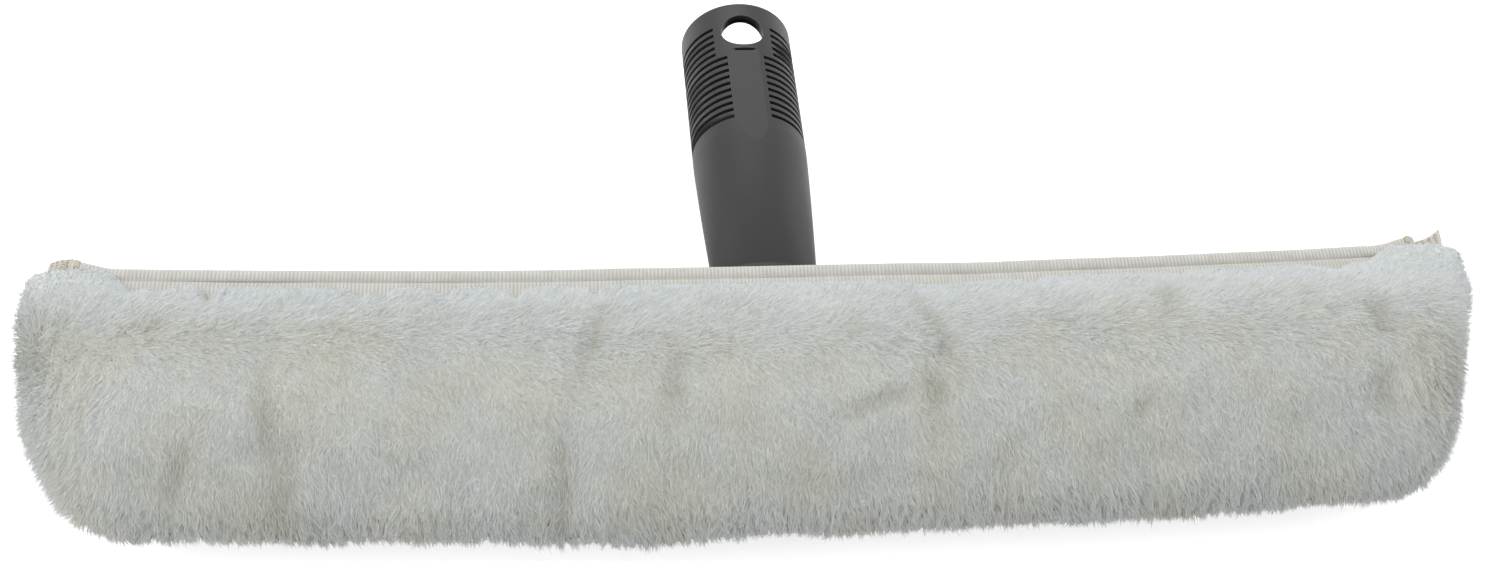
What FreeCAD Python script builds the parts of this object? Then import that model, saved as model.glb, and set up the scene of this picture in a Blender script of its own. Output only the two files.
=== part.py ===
# A window scrubber: a plastic T-bar in two mouldings, inside a removable fleece sleeve.
# Millimetres. X runs along the crossbar, +Y points out of the handle's open end and +Z is up.
# The origin lies on the surface that the scrubber rests on, below the middle of the sleeve.
import FreeCAD, Part
import math
import os

import Sketcher

SIZES = {
    # Crossbar, the flat bar inside the sleeve
    "bar_length": 306.0,
    "bar_width": 38.0,
    "bar_thickness": 6.0,
    "bar_corner": 14.0,
    "bar_edge_round": 1.2,
    "drain_hole_radius": 6.0,
    "first_drain_hole": 50.0,
    "drain_row_end_gap": 25.0,
    "drain_holes_each_side": 5,
    # Grip and pole socket of the handle
    "socket_radius": 12.0,
    "socket_depth": 44.0,
    "grip_wall": 2.6,
    "grip_length": 45.5,
    "grip_end_round": 1.2,
    "lock_hole_radius": 5.5,
    "lock_hole_setback": 10.7,
    "flat_strip_width": 7.0,
    "flat_strip_gap": 1.2,
    "strip_slot_width": 5.2,
    "strip_slot_length": 0.6,
    "strip_slot_depth": 1.2,
    # Grip grooves
    "groove_width": 1.2,
    "groove_depth": 1.7,
    "groove_pitch": 2.36,
    "groove_setback": 8.4,
    "groove_gap": 9.4,
    "groove_gap_at_hole": 15.0,
    "long_grooves": 10,
    "short_grooves": 5,
    # Neck and foot of the handle
    "neck_length": 38.0,
    "neck_width": 25.9,
    "neck_middle_width": 27.8,
    "neck_middle_height": 23.6,
    "neck_gap": 1.0,
    "foot_width": 60.0,
    "foot_shoulder": 4.0,
    "foot_gusset": 12.0,
    "foot_corner": 5.0,
    "fork_depth": 22.0,
    "cheek_thickness": 2.8,
    "seat_clearance": 0.1,
    # Screws through the foot
    "screw_spacing": 36.0,
    "screw_radius": 2.0,
    "screw_head_radius": 3.9,
    "screw_tip_length": 2.0,
    "screw_clearance": 0.1,
    "drive_arm": 2.0,
    "drive_width": 1.0,
    "drive_depth": 1.2,
    # Fleece sleeve
    "fleece_thickness": 10.5,
    "fleece_edge_thickness": 2.5,
    "front_wall": 9.0,
    "front_nose_radius": 11.0,
    "end_wall": 23.6,
    "end_round": 32.0,
    "end_rake": 12.5,
    "front_corner_draw": 40.0,
    "back_corner_rise": 2.0,
    "lip_reach": 24.6,
    "slit_overhang": 11.0,
    "fleece_setback": 5.0,
    "pocket_clearance": 0.4,
    "seam_gap": 0.1,
    "rest_flat": 0.5,
    # Lip tapes, their sewn corners and the closure strips
    "tape_width": 10.0,
    "tape_thickness": 1.2,
    "tape_ramp": 24.0,
    "corner_tab_length": 8.0,
    "corner_tab_rise": 2.5,
    "corner_tab_slant": 1.5,
    "bartack_width": 1.5,
    "bartack_height": 0.8,
    "bartack_inset": 1.0,
    "closure_thickness": 1.2,
    "closure_width": 8.0,
    "closure_inset": 1.0,
    "closure_end_gap": 8.0,
    "closure_corner": 1.5,
    # How far a cutting shape runs past what it cuts
    "cut_overrun": 5.0,
}

# The sewn ends of the sleeve: their thickness as a share of their depth, the thickness of their back edge as a
# share of that thickness, and the steps that round each end
sleeve_end_thickness_share = 0.57
sleeve_end_edge_share = 0.74
sleeve_end_steps = 6

# Two places closer than this are the same place
same_place = 1e-6

upwards = FreeCAD.Vector(0, 0, 1)

doc = FreeCAD.newDocument("WindowScrubber")
sheet = doc.addObject("Spreadsheet::Sheet", "Sizes")
for row, (alias, number) in enumerate(SIZES.items(), start=1):
    sheet.set(f"A{row}", alias)
    sheet.set(f"B{row}", str(number))
    sheet.setAlias(f"B{row}", alias)
doc.recompute()

# Sizes that follow from the driving ones
bar_half = "(Sizes.bar_width / 2)"
drain_row = "(Sizes.bar_length / 2 - Sizes.drain_row_end_gap - Sizes.first_drain_hole)"
drain_hole_pitch = f"({drain_row} / (Sizes.drain_holes_each_side - 1))"
grip_radius = "(Sizes.socket_radius + Sizes.grip_wall)"
slot_half = "(Sizes.bar_thickness / 2 + Sizes.seat_clearance)"
foot_half = f"({slot_half} + Sizes.cheek_thickness)"
foot_side = "(Sizes.foot_width / 2)"
pocket_side = "(Sizes.bar_length / 2 + Sizes.pocket_clearance)"
pocket_half = "(Sizes.bar_thickness / 2 + Sizes.pocket_clearance)"
foot_pocket_side = f"({foot_side} + Sizes.pocket_clearance)"
foot_pocket_half = f"({foot_half} + Sizes.pocket_clearance)"
tape_inner = f"({pocket_half} + Sizes.closure_thickness + Sizes.seam_gap)"
tape_outer = f"({tape_inner} + Sizes.tape_thickness)"
tape_top = f"({foot_pocket_half} + Sizes.tape_thickness)"
tape_side = f"({pocket_side} + Sizes.slit_overhang)"
tape_ramp_foot = f"({foot_pocket_side} + Sizes.tape_ramp)"
sleeve_half = f"({tape_top} + Sizes.fleece_thickness)"
sleeve_side = f"({pocket_side} + Sizes.end_wall)"
sleeve_depth = "(Sizes.front_wall + Sizes.pocket_clearance + Sizes.bar_width + Sizes.lip_reach)"
lip_edge = f"({sleeve_depth} / 2)"

# Places along Y in the T-bar's own frame, where the crossbar's centre line is zero
fork_end = f"({bar_half} - Sizes.fork_depth)"
shoulder = f"({bar_half} + Sizes.seat_clearance + Sizes.foot_shoulder)"
gusset_top = f"({shoulder} + Sizes.foot_gusset)"
neck_foot = f"({bar_half} + Sizes.lip_reach + Sizes.neck_gap)"
grip_start = f"({neck_foot} + Sizes.neck_length)"
grip_end = f"({grip_start} + Sizes.grip_length)"
screw_line = f"({bar_half} - Sizes.fork_depth / 2)"

# Where the two frames stand: the crossbar's centre line and the height of the middle plane
bar_line = f"(Sizes.front_wall + Sizes.pocket_clearance + {bar_half} - {lip_edge})"
mid_height = f"({sleeve_half} - Sizes.rest_flat)"


def value(expression):
    """The number that an expression of the sheet's sizes gives."""
    return float(sheet.evalExpression(expression))


def place(piece, x="0", y="0", z=mid_height):
    """Binds a piece's place to the sheet."""
    for axis, expression in (("x", x), ("y", y), ("z", z)):
        piece.setExpression(f"Placement.Base.{axis}", expression)


def new_body(label, x="0", y="0"):
    body = doc.addObject("PartDesign::Body", label)
    body.Label = label
    place(body, x, y)
    return body


def new_sketch(body, name, role, offset="0"):
    """An empty sketch on one of the body's own planes, moved along that plane's normal."""
    plane = next(feature for feature in body.Origin.OriginFeatures if feature.Role == role)
    sketch = body.newObject("Sketcher::SketchObject", f"{body.Name}_{name}")
    sketch.AttachmentSupport = (plane, [""])
    sketch.MapMode = "FlatFace"
    sketch.setExpression("AttachmentOffset.Base.z", offset)
    return sketch


def constrain(sketch, expression, kind, *where):
    """Adds a dimension whose value is bound to the sheet."""
    number = sketch.addConstraint(Sketcher.Constraint(kind, *where, value(expression)))
    sketch.setExpression(f"Constraints[{number}]", expression)


def tie_point(sketch, geometry, point, x, y):
    """Ties a sketch point to an expression for each coordinate; a plain zero puts it on the axis."""
    for kind, expression, axis in (("DistanceX", x, -2), ("DistanceY", y, -1)):
        if expression == "0":
            sketch.addConstraint(Sketcher.Constraint("PointOnObject", geometry, point, axis))
        else:
            constrain(sketch, expression, kind, -1, 1, geometry, point)


def outline(body, name, role, points, offset="0"):
    """A closed sketch of straight sides through points given as pairs of expressions."""
    sketch = new_sketch(body, name, role, offset)
    corners = [FreeCAD.Vector(value(x), value(y), 0) for x, y in points]
    for start, end in zip(corners, corners[1:] + corners[:1]):
        sketch.addGeometry(Part.LineSegment(start, end))
    for index, (x, y) in enumerate(points):
        following = (index + 1) % len(points)
        sketch.addConstraint(Sketcher.Constraint("Coincident", index, 2, following, 1))
        tie_point(sketch, index, 1, x, y)
    return sketch


def circle(body, name, role, radius, x="0", y="0", offset="0"):
    sketch = new_sketch(body, name, role, offset)
    centre = FreeCAD.Vector(value(x), value(y), 0)
    sketch.addGeometry(Part.Circle(centre, upwards, value(radius)))
    tie_point(sketch, 0, 3, x, y)
    constrain(sketch, radius, "Radius", 0)
    return sketch


def ellipse(body, name, role, width, height, offset):
    sketch = new_sketch(body, name, role, offset)
    sketch.addGeometry(Part.Ellipse(FreeCAD.Vector(0, 0, 0), value(width) / 2, value(height) / 2))
    sketch.exposeInternalGeometry(0)
    major_axis = 1
    minor_axis = 2
    sketch.addConstraint(Sketcher.Constraint("Coincident", 0, 3, -1, 1))
    sketch.addConstraint(Sketcher.Constraint("Horizontal", major_axis))
    constrain(sketch, width, "Distance", major_axis)
    constrain(sketch, height, "Distance", minor_axis)
    return sketch


def extrude(kind, sketch, length, sides="One side", flip=False):
    """A Pad or a Pocket of a sketch."""
    body = sketch.getParentGeoFeatureGroup()
    feature = body.newObject(f"PartDesign::{kind}", f"{sketch.Name}_{kind.lower()}")
    feature.Profile = sketch
    feature.SideType = sides
    feature.Reversed = flip
    feature.setExpression("Length", length)
    return check_feature(feature)


def revolve(kind, sketch, angle="360", symmetric=False):
    """A Revolution or a Groove of a sketch about its own upright axis."""
    body = sketch.getParentGeoFeatureGroup()
    feature = body.newObject(f"PartDesign::{kind}", f"{sketch.Name}_{kind.lower()}")
    feature.Profile = sketch
    feature.ReferenceAxis = (sketch, ["V_Axis"])
    feature.Midplane = symmetric
    feature.setExpression("Angle", angle)
    return check_feature(feature)


def repeat(feature, sketch, axis, pitch, count, flip=False):
    """A row of copies of a feature along one of its sketch's axes."""
    body = sketch.getParentGeoFeatureGroup()
    row_of = body.newObject("PartDesign::LinearPattern", f"{sketch.Name}_row")
    row_of.Originals = [feature]
    row_of.Direction = (sketch, [axis])
    row_of.Reversed = flip
    row_of.Mode = "Spacing"
    row_of.setExpression("Offset", pitch)
    row_of.setExpression("Occurrences", count)
    body.Tip = row_of
    return check_feature(row_of)


def dress(body, kind, size, chosen):
    """A Fillet or a Chamfer on the edges of the body that a test picks."""
    tip = body.Tip
    names = [f"Edge{number}" for number, edge in enumerate(tip.Shape.Edges, start=1) if chosen(edge)]
    feature = body.newObject(f"PartDesign::{kind}", f"{body.Name}_{kind.lower()}")
    feature.Base = (tip, names)
    feature.setExpression("Radius" if kind == "Fillet" else "Size", size)
    return check_feature(feature)


def check_feature(feature):
    """Stops the build where a feature fails, or adds or cuts nothing."""
    doc.recompute()
    before = feature.BaseFeature.Shape.Volume if feature.BaseFeature else 0.0
    change = feature.Shape.Volume - before
    cuts = feature.TypeId.endswith(("Pocket", "Groove"))
    if (cuts and change >= 0) or change == 0:
        raise RuntimeError(f"{feature.Name} changes nothing")
    return feature


def upright(edge):
    """True for an edge that runs along Z."""
    first, last = (vertex.Point for vertex in (edge.Vertexes[0], edge.Vertexes[-1]))
    below = FreeCAD.Vector(last.x, last.y, first.z)
    return first.isEqual(below, same_place) and not first.isEqual(last, same_place)


def rectangle(x_low, x_high, y_low, y_high):
    return ((x_low, y_low), (x_high, y_low), (x_high, y_high), (x_low, y_high))


def both_sides(half):
    """A length and its mirror image, as expressions."""
    return f"-{half}", half


def make_handle():
    """One hollow moulding: round grip, flattening neck and a forked foot that grips the crossbar."""
    body = new_body("handle", y=bar_line)

    # Grip: a round bar, rounded at its open end
    grip = circle(body, "grip", "XZ_Plane", grip_radius, offset=f"-{grip_start}")
    extrude("Pad", grip, "Sizes.grip_length", flip=True)
    end = value(grip_end)
    dress(body, "Fillet", "Sizes.grip_end_round", lambda edge: abs(edge.CenterOfMass.y - end) < same_place)

    # Neck: the round grip flattens towards the sleeve, and runs on as an oval into the foot
    neck_height = f"(2 * {foot_half})"
    top = circle(body, "neck_top", "XZ_Plane", grip_radius, offset=f"-{grip_start}")
    middle = ellipse(
        body,
        "neck_middle",
        "XZ_Plane",
        "Sizes.neck_middle_width",
        "Sizes.neck_middle_height",
        f"-({neck_foot} + Sizes.neck_length / 2)",
    )
    low = ellipse(body, "neck_low", "XZ_Plane", "Sizes.neck_width", neck_height, f"-{neck_foot}")
    neck = body.newObject("PartDesign::AdditiveLoft", "handle_neck")
    neck.Profile = top
    neck.Sections = [middle, low]
    check_feature(neck)
    root = ellipse(body, "neck_root", "XZ_Plane", "Sizes.neck_width", neck_height, f"-{neck_foot}")
    extrude("Pad", root, f"{neck_foot} - {shoulder}")

    # Foot: a gusseted block with a slot that takes the crossbar
    neck_side = "(Sizes.neck_width / 2)"
    foot = outline(
        body,
        "foot",
        "XY_Plane",
        (
            (f"-{foot_side}", fork_end),
            (foot_side, fork_end),
            (foot_side, shoulder),
            (neck_side, gusset_top),
            (f"-{neck_side}", gusset_top),
            (f"-{foot_side}", shoulder),
        ),
    )
    extrude("Pad", foot, f"2 * {foot_half}", "Symmetric")
    corner_places = (value(fork_end), value(shoulder))
    side = value(foot_side)

    def is_foot_corner(edge):
        at = edge.CenterOfMass
        on_side = abs(abs(at.x) - side) < same_place
        at_corner = min(abs(at.y - y) for y in corner_places) < same_place
        return upright(edge) and on_side and at_corner

    dress(body, "Fillet", "Sizes.foot_corner", is_foot_corner)
    slot = outline(
        body,
        "slot",
        "YZ_Plane",
        rectangle(
            f"{fork_end} - Sizes.cut_overrun",
            f"{bar_half} + Sizes.seat_clearance",
            *both_sides(slot_half),
        ),
    )
    extrude("Pocket", slot, "Sizes.foot_width + 2 * Sizes.cut_overrun", "Symmetric")

    # Screw holes, countersunk in the upper cheek
    for name, x in zip(("left", "right"), both_sides("(Sizes.screw_spacing / 2)")):
        hole = circle(
            body,
            f"{name}_screw_hole",
            "XY_Plane",
            "Sizes.screw_radius + Sizes.screw_clearance",
            x,
            screw_line,
        )
        extrude("Pocket", hole, f"2 * ({foot_half} + Sizes.cut_overrun)", "Symmetric")
    screw_hole = value("Sizes.screw_radius + Sizes.screw_clearance")
    top_face = value(foot_half)

    def is_screw_hole_rim(edge):
        round_rim = isinstance(edge.Curve, Part.Circle) and abs(edge.Curve.Radius - screw_hole) < same_place
        return round_rim and abs(edge.CenterOfMass.z - top_face) < same_place

    dress(body, "Chamfer", "Sizes.screw_head_radius - Sizes.screw_radius", is_screw_hole_rim)

    # Pole socket, the lock hole through its upper wall, and the flat strip below that hole with its slot
    bore = circle(body, "socket", "XZ_Plane", "Sizes.socket_radius", offset=f"-{grip_end}")
    extrude("Pocket", bore, "Sizes.socket_depth", flip=True)
    lock_line = f"({grip_end} - Sizes.lock_hole_setback)"
    lock = circle(body, "lock_hole", "XY_Plane", "Sizes.lock_hole_radius", y=lock_line)
    extrude("Pocket", lock, f"{grip_radius} + Sizes.cut_overrun", flip=True)
    strip_level = f"sqrt({grip_radius} ^ 2 - (Sizes.flat_strip_width / 2) ^ 2)"
    strip_end = f"({lock_line} - Sizes.lock_hole_radius - Sizes.flat_strip_gap)"
    strip = outline(
        body,
        "flat_strip",
        "XY_Plane",
        rectangle(*both_sides(grip_radius), neck_foot, strip_end),
        offset=strip_level,
    )
    extrude("Pocket", strip, grip_radius, flip=True)
    strip_slot = outline(
        body,
        "strip_slot",
        "XY_Plane",
        rectangle(
            *both_sides("(Sizes.strip_slot_width / 2)"),
            f"{strip_end} - Sizes.strip_slot_length",
            strip_end,
        ),
        offset=strip_level,
    )
    extrude("Pocket", strip_slot, "Sizes.strip_slot_depth")

    # Grip grooves: arcs round each side, shorter where they pass the lock hole
    rows = (
        ("short", "Sizes.short_grooves", "Sizes.short_grooves", "Sizes.groove_gap_at_hole"),
        ("long", "Sizes.long_grooves", "(Sizes.short_grooves + Sizes.long_grooves)", "Sizes.groove_gap"),
    )
    for row_name, count, last, gap in rows:
        station = f"({grip_end} - Sizes.groove_setback - ({last} - 1) * Sizes.groove_pitch)"
        for side_name, sign in (("left", "-"), ("right", "")):
            profile = outline(
                body,
                f"{side_name}_{row_name}_groove",
                "XY_Plane",
                rectangle(
                    f"{sign}({grip_radius} - Sizes.groove_depth)",
                    f"{sign}({grip_radius} + Sizes.cut_overrun)",
                    f"{station} - Sizes.groove_width / 2",
                    f"{station} + Sizes.groove_width / 2",
                ),
            )
            groove = revolve("Groove", profile, f"2 * acos({gap} / 2 / {grip_radius})", symmetric=True)
            repeat(groove, profile, "V_Axis", "Sizes.groove_pitch", count)
    return body


def make_crossbar():
    """A flat moulded bar with rounded ends, a row of drain holes each side and two screw holes."""
    body = new_body("crossbar", y=bar_line)
    blank = outline(
        body,
        "blank",
        "XY_Plane",
        rectangle(*both_sides("(Sizes.bar_length / 2)"), *both_sides(bar_half)),
    )
    extrude("Pad", blank, "Sizes.bar_thickness", "Symmetric")
    dress(body, "Fillet", "Sizes.bar_corner", upright)
    dress(body, "Fillet", "Sizes.bar_edge_round", lambda edge: abs(edge.CenterOfMass.z) > same_place)
    for name, x in zip(("left", "right"), both_sides("(Sizes.screw_spacing / 2)")):
        radius = "Sizes.screw_radius + Sizes.screw_clearance"
        hole = circle(body, f"{name}_screw_hole", "XY_Plane", radius, x, screw_line)
        extrude("Pocket", hole, "Sizes.bar_thickness + 2 * Sizes.cut_overrun", "Symmetric")
    for name, x in zip(("left", "right"), both_sides("Sizes.first_drain_hole")):
        hole = circle(body, f"{name}_drain_hole", "XY_Plane", "Sizes.drain_hole_radius", x)
        first = extrude("Pocket", hole, "Sizes.bar_thickness + 2 * Sizes.cut_overrun", "Symmetric")
        outwards = name == "left"
        repeat(first, hole, "H_Axis", drain_hole_pitch, "Sizes.drain_holes_each_side", outwards)
    return body


def make_screw(label, x):
    """A countersunk self-tapping screw, flush with the foot, with a cross recess in its head."""
    body = new_body(label, x, f"{bar_line} + {screw_line}")
    head_height = "(Sizes.screw_head_radius - Sizes.screw_radius)"
    profile = outline(
        body,
        "profile",
        "XZ_Plane",
        (
            ("0", foot_half),
            ("Sizes.screw_head_radius", foot_half),
            ("Sizes.screw_radius", f"{foot_half} - {head_height}"),
            ("Sizes.screw_radius", f"Sizes.screw_tip_length - {foot_half}"),
            ("0", f"-{foot_half}"),
        ),
    )
    revolve("Revolution", profile)
    arm = "Sizes.drive_arm"
    edge = "(Sizes.drive_width / 2)"
    recess = outline(
        body,
        "recess",
        "XY_Plane",
        (
            (f"-{arm}", f"-{edge}"),
            (f"-{edge}", f"-{edge}"),
            (f"-{edge}", f"-{arm}"),
            (edge, f"-{arm}"),
            (edge, f"-{edge}"),
            (arm, f"-{edge}"),
            (arm, edge),
            (edge, edge),
            (edge, arm),
            (f"-{edge}", arm),
            (f"-{edge}", edge),
            (f"-{arm}", edge),
        ),
        offset=foot_half,
    )
    extrude("Pocket", recess, "Sizes.drive_depth")
    return body


def lip_line(sign, side, low, high):
    """The points of a lip's line across the sleeve: level, with a raised stretch over the handle's foot."""
    return (
        (f"-{side}", f"{sign}{low}"),
        (f"-{tape_ramp_foot}", f"{sign}{low}"),
        (f"-{foot_pocket_side}", f"{sign}{high}"),
        (foot_pocket_side, f"{sign}{high}"),
        (tape_ramp_foot, f"{sign}{low}"),
        (side, f"{sign}{low}"),
    )


def make_lip_tape(label, sign):
    """A woven tape along one lip, bent outwards where the handle's foot passes."""
    body = new_body(label)
    inner = lip_line(sign, tape_side, tape_inner, foot_pocket_half)
    outer = lip_line(sign, tape_side, tape_outer, tape_top)
    section = outline(body, "section", "XZ_Plane", inner + outer[::-1], offset=f"-{lip_edge}")
    extrude("Pad", section, "Sizes.tape_width")
    return body


def make_closure_strip(label, side, sign):
    """One strip of the hook-and-loop closure, sewn to the inside of a lip beside the handle."""
    body = new_body(label)
    back = f"({lip_edge} - Sizes.closure_inset)"
    shape = outline(
        body,
        "shape",
        "XY_Plane",
        rectangle(
            f"{side}{tape_ramp_foot}",
            f"{side}({tape_side} - Sizes.closure_end_gap)",
            f"{back} - Sizes.closure_width",
            back,
        ),
        offset=f"{sign}{pocket_half}",
    )
    extrude("Pad", shape, "Sizes.closure_thickness", flip=sign == "-")
    dress(body, "Fillet", "Sizes.closure_corner", upright)
    return body


def make_corner_tab(label, side):
    """The folded ends of both tapes, sewn together where the slit ends."""
    body = new_body(label)
    inner = f"({tape_side} + Sizes.seam_gap)"
    outer = f"({inner} + Sizes.corner_tab_length)"
    low = f"({lip_edge} - Sizes.tape_width + Sizes.corner_tab_slant)"
    shape = outline(
        body,
        "shape",
        "XY_Plane",
        (
            (f"{side}{inner}", low),
            (f"{side}({outer} - Sizes.corner_tab_slant)", low),
            (f"{side}{outer}", f"{lip_edge} - Sizes.corner_tab_slant"),
            (f"{side}({outer} - Sizes.corner_tab_slant)", f"{lip_edge} + Sizes.corner_tab_rise"),
            (f"{side}{inner}", lip_edge),
        ),
    )
    extrude("Pad", shape, f"2 * {tape_inner}", "Symmetric")
    return body


def make_bartack(label, side):
    """A short bar of dense stitches across the bare edge of the upper tape, near the end of the slit."""
    body = new_body(label)
    inner = f"({tape_side} - Sizes.bartack_inset)"
    shape = outline(
        body,
        "shape",
        "XY_Plane",
        rectangle(
            f"{side}({inner} - Sizes.bartack_width)",
            f"{side}{inner}",
            f"{lip_edge} - Sizes.fleece_setback + Sizes.back_corner_rise + Sizes.seam_gap",
            lip_edge,
        ),
        offset=tape_outer,
    )
    extrude("Pad", shape, "Sizes.bartack_height")
    return body


def sleeve_section(x, front, back, half, edge_half, nose):
    """One cross-section of the sleeve: a flat back edge, crowned sides and a round front nose."""

    def point(y, z):
        return FreeCAD.Vector(x, y, z)

    # The crest of the section lies above the middle between its front and back edges.
    crest = (front + back) / 2
    reach = crest - front - nose
    front_radius = (reach**2 + half**2 - nose**2) / (2 * (half - nose))
    fall = half - edge_half
    back_radius = ((back - crest) ** 2 + fall**2) / (2 * fall)
    front_centre = point(crest, half - front_radius)
    back_centre = point(crest, half - back_radius)
    nose_centre = point(front + nose, 0)
    towards_nose = (nose_centre - front_centre).normalize()
    join = front_centre + towards_nose * front_radius

    def mirrored(place):
        return point(place.y, -place.z)

    def between(centre, radius, start, end):
        """The middle of the arc from start to end about a centre."""
        return centre + ((start + end) * 0.5 - centre).normalize() * radius

    top = point(crest, half)
    back_top = point(back, edge_half)
    back_middle = between(back_centre, back_radius, back_top, top)
    front_middle = between(front_centre, front_radius, top, join)
    return Part.Wire(
        [
            Part.LineSegment(mirrored(back_top), back_top).toShape(),
            Part.Arc(back_top, back_middle, top).toShape(),
            Part.Arc(top, front_middle, join).toShape(),
            Part.Arc(join, point(front, 0), mirrored(join)).toShape(),
            Part.Arc(mirrored(join), mirrored(front_middle), mirrored(top)).toShape(),
            Part.Arc(mirrored(top), mirrored(back_middle), mirrored(back_top)).toShape(),
        ]
    )


def prism_along_y(points, start, end):
    """A solid from an outline in the XZ plane, given as pairs of expressions."""
    corners = [FreeCAD.Vector(value(x), start, value(z)) for x, z in points]
    return Part.Face(Part.makePolygon(corners + corners[:1])).extrude(FreeCAD.Vector(0, end - start, 0))


def make_fleece_sleeve():
    """The pile fabric, folded round the crossbar: a crowned pad with a pocket that opens between the lips."""
    half_length = value(sleeve_side)
    front = -value(lip_edge)
    back = value(lip_edge) - value("Sizes.fleece_setback")
    half = value(sleeve_half)
    edge_half = value(f"{tape_outer} + Sizes.seam_gap + Sizes.fleece_edge_thickness")
    nose = value("Sizes.front_nose_radius")
    end_round = value("Sizes.end_round")
    end_front = front + value("Sizes.front_corner_draw")
    end_back = back + value("Sizes.back_corner_rise")
    end_half = sleeve_end_thickness_share * (end_back - end_front) / 2
    middle_sizes = (front, back, half, edge_half, nose)
    end_sizes = (end_front, end_back, end_half, sleeve_end_edge_share * end_half, nose * end_half / half)
    rake = math.degrees(math.atan2(value("Sizes.end_rake"), back - front))
    wires = []
    for step in range(sleeve_end_steps + 1):
        turn = math.pi / 2 * step / sleeve_end_steps
        x = half_length - end_round * (1 - math.sin(turn))
        drawn_share = 1 - math.cos(turn)
        sizes = [middle + (end - middle) * drawn_share for middle, end in zip(middle_sizes, end_sizes)]
        # The sections fan out about the back edge, so that the end of the sleeve slants in towards its nose.
        for side in (-1, 1):
            wire = sleeve_section(side * x, *sizes)
            wire.rotate(FreeCAD.Vector(side * x, back, 0), upwards, -side * rake * math.sin(turn))
            wires.insert(0 if side < 0 else len(wires), wire)
    pad = Part.makeLoft(wires, True, True)

    # The pocket for the bar, the wider way for the foot, and the rebate that takes the tapes
    beyond = value(f"{lip_edge} + Sizes.corner_tab_rise + Sizes.cut_overrun")
    pocket_front = value(f"{bar_line} - {bar_half} - Sizes.pocket_clearance")
    bar_way = rectangle(*both_sides(pocket_side), *both_sides(pocket_half))
    foot_way = rectangle(*both_sides(foot_pocket_side), *both_sides(foot_pocket_half))
    rebate_side = f"({tape_side} + 2 * Sizes.seam_gap + Sizes.corner_tab_length)"
    rebate_low = f"({tape_outer} + Sizes.seam_gap)"
    rebate_high = f"({tape_top} + Sizes.seam_gap)"
    upper = lip_line("", rebate_side, rebate_low, rebate_high)
    lower = lip_line("-", rebate_side, rebate_low, rebate_high)
    foot_start = value(f"{bar_line} + {fork_end} - Sizes.pocket_clearance")
    rebate_start = value(f"{lip_edge} - Sizes.tape_width - Sizes.seam_gap")
    hollow = prism_along_y(bar_way, pocket_front, beyond)
    corners = [edge for edge in hollow.Edges if upright(edge) and edge.CenterOfMass.y < foot_start]
    hollow = hollow.makeFillet(value("Sizes.bar_corner + Sizes.pocket_clearance"), corners)
    hollow = hollow.fuse(prism_along_y(foot_way, foot_start, beyond))
    hollow = hollow.fuse(prism_along_y(upper + lower[::-1], rebate_start, beyond))

    # The flat on which the sleeve lies
    overrun = value("Sizes.cut_overrun")
    floor = Part.makeBox(
        2 * (half_length + overrun),
        2 * (value(lip_edge) + overrun),
        overrun,
        FreeCAD.Vector(-half_length - overrun, -value(lip_edge) - overrun, -value(mid_height) - overrun),
    )
    sleeve = doc.addObject("Part::Feature", "fleece_sleeve")
    sleeve.Label = "fleece_sleeve"
    sleeve.Shape = pad.cut(hollow).cut(floor).removeSplitter()
    place(sleeve)
    return sleeve


pieces = [
    make_handle(),
    make_crossbar(),
    make_screw("left_screw", "-(Sizes.screw_spacing / 2)"),
    make_screw("right_screw", "(Sizes.screw_spacing / 2)"),
    make_fleece_sleeve(),
    make_lip_tape("upper_lip_tape", ""),
    make_lip_tape("lower_lip_tape", "-"),
]
for name, side in (("left", "-"), ("right", "")):
    pieces.append(make_closure_strip(f"{name}_hook_strip", side, ""))
    pieces.append(make_closure_strip(f"{name}_loop_strip", side, "-"))
    pieces.append(make_corner_tab(f"{name}_corner_tab", side))
    pieces.append(make_bartack(f"{name}_bartack", side))

doc.recompute()
for thing in doc.Objects:
    if {"Invalid", "Error"} & set(thing.State):
        raise RuntimeError(f"{thing.Label} is {thing.State}")
os.makedirs("parts", exist_ok=True)
for piece in pieces:
    if piece.Shape.isNull() or not piece.Shape.isValid():
        raise RuntimeError(f"{piece.Label} has no valid shape")
    print(piece.Label, len(piece.Shape.Solids), "solid", round(piece.Shape.Volume), "mm3")
    piece.Shape.exportStep(f"parts/{piece.Label}.step")
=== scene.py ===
import math

import bmesh
import bpy
import numpy as np
from mathutils import Matrix, Vector, noise


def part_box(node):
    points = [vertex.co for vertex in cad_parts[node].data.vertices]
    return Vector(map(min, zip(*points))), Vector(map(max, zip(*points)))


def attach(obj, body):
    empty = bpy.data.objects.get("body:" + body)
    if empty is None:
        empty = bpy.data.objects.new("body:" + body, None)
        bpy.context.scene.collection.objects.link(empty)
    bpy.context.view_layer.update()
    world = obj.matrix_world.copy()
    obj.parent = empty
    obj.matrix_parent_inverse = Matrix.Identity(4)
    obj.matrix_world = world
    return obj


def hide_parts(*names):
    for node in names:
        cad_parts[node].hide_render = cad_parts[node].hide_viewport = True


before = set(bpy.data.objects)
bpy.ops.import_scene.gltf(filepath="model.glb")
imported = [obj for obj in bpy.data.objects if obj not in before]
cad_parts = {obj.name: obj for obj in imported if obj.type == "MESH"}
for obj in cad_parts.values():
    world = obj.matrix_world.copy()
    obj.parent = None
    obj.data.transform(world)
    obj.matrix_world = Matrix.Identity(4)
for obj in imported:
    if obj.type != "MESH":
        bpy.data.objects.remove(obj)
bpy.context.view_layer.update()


# The handle is one hollow charcoal plastic moulding: a round grip with cut grooves, a flat strip and a lock
# hole, and a neck that flattens into the forked foot inside the sleeve. The CAD node has its shape already,
# so it only gets its finish here: a fine matte grain and edges rubbed lighter by hands. The groove floors
# and the inside of the tube are painted near black, as shade.
handle_dark = (0.020, 0.020, 0.021, 1.0)
handle_light = (0.029, 0.029, 0.030, 1.0)
handle_rubbed = (0.085, 0.085, 0.086, 1.0)
groove_painted_shade = (0.004, 0.004, 0.004, 1.0)
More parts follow.
